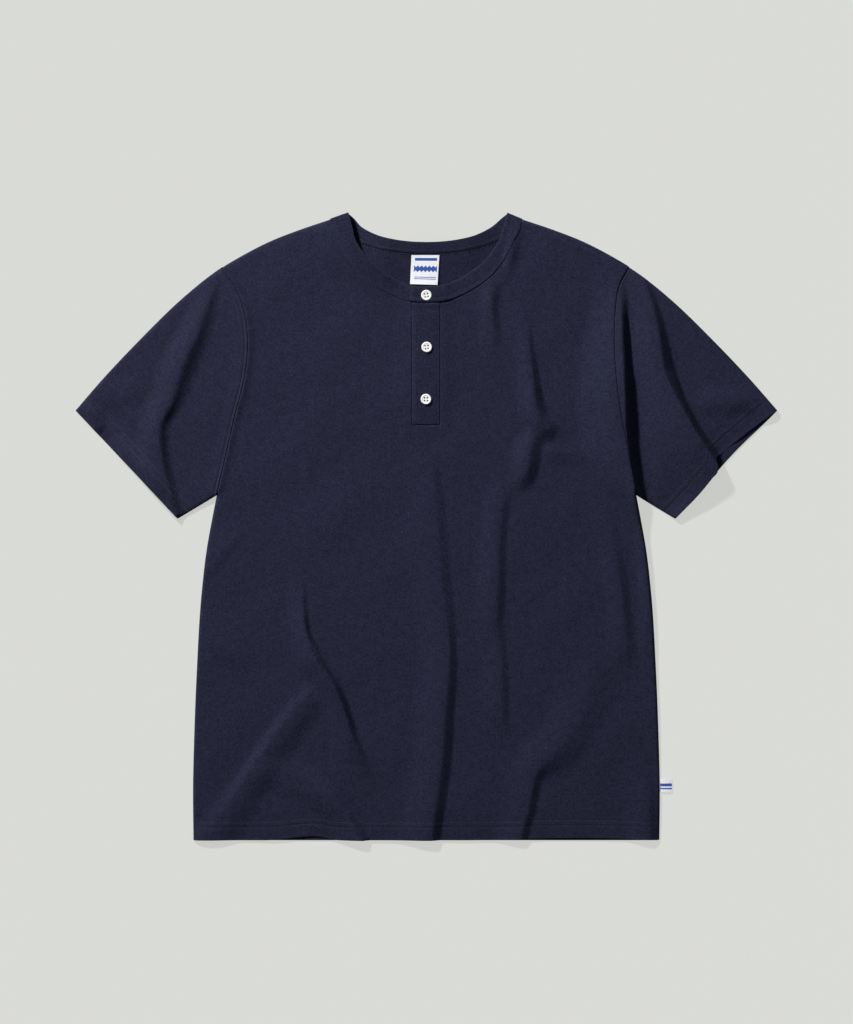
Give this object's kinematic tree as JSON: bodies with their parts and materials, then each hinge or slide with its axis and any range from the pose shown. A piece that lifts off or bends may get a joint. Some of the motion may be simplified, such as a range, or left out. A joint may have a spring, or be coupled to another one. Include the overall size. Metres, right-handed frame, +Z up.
{
  "type": "henley shirt",
  "caption": "Short-sleeved jersey henley shirt laid flat, front up, with a buttoned placket at its round neck.",
  "frame": {"origin": "on the surface that the shirt lies on, under the middle of its bounding box", "axes": "+Z up out of the front, +Y from the hem to the neck, +X from the sleeve on the picture's left to the one on its right"},
  "size_m": [0.7718, 0.69, 0.0106],
  "materials": {
    "jersey": "matte knit jersey, navy",
    "button": "semi-gloss, off-white",
    "label": "woven satin label, white"
  },
  "bodies": {
    "root": {"back": "jersey", "front": "jersey", "sleeve_left": "jersey", "sleeve_right": "jersey", "neckband": "jersey", "placket_over": "jersey", "placket_under": "jersey", "button_1": "button", "button_2": "button", "button_3": "button", "neck_label": "label", "side_label": "label"}
  },
  "joints": []
}
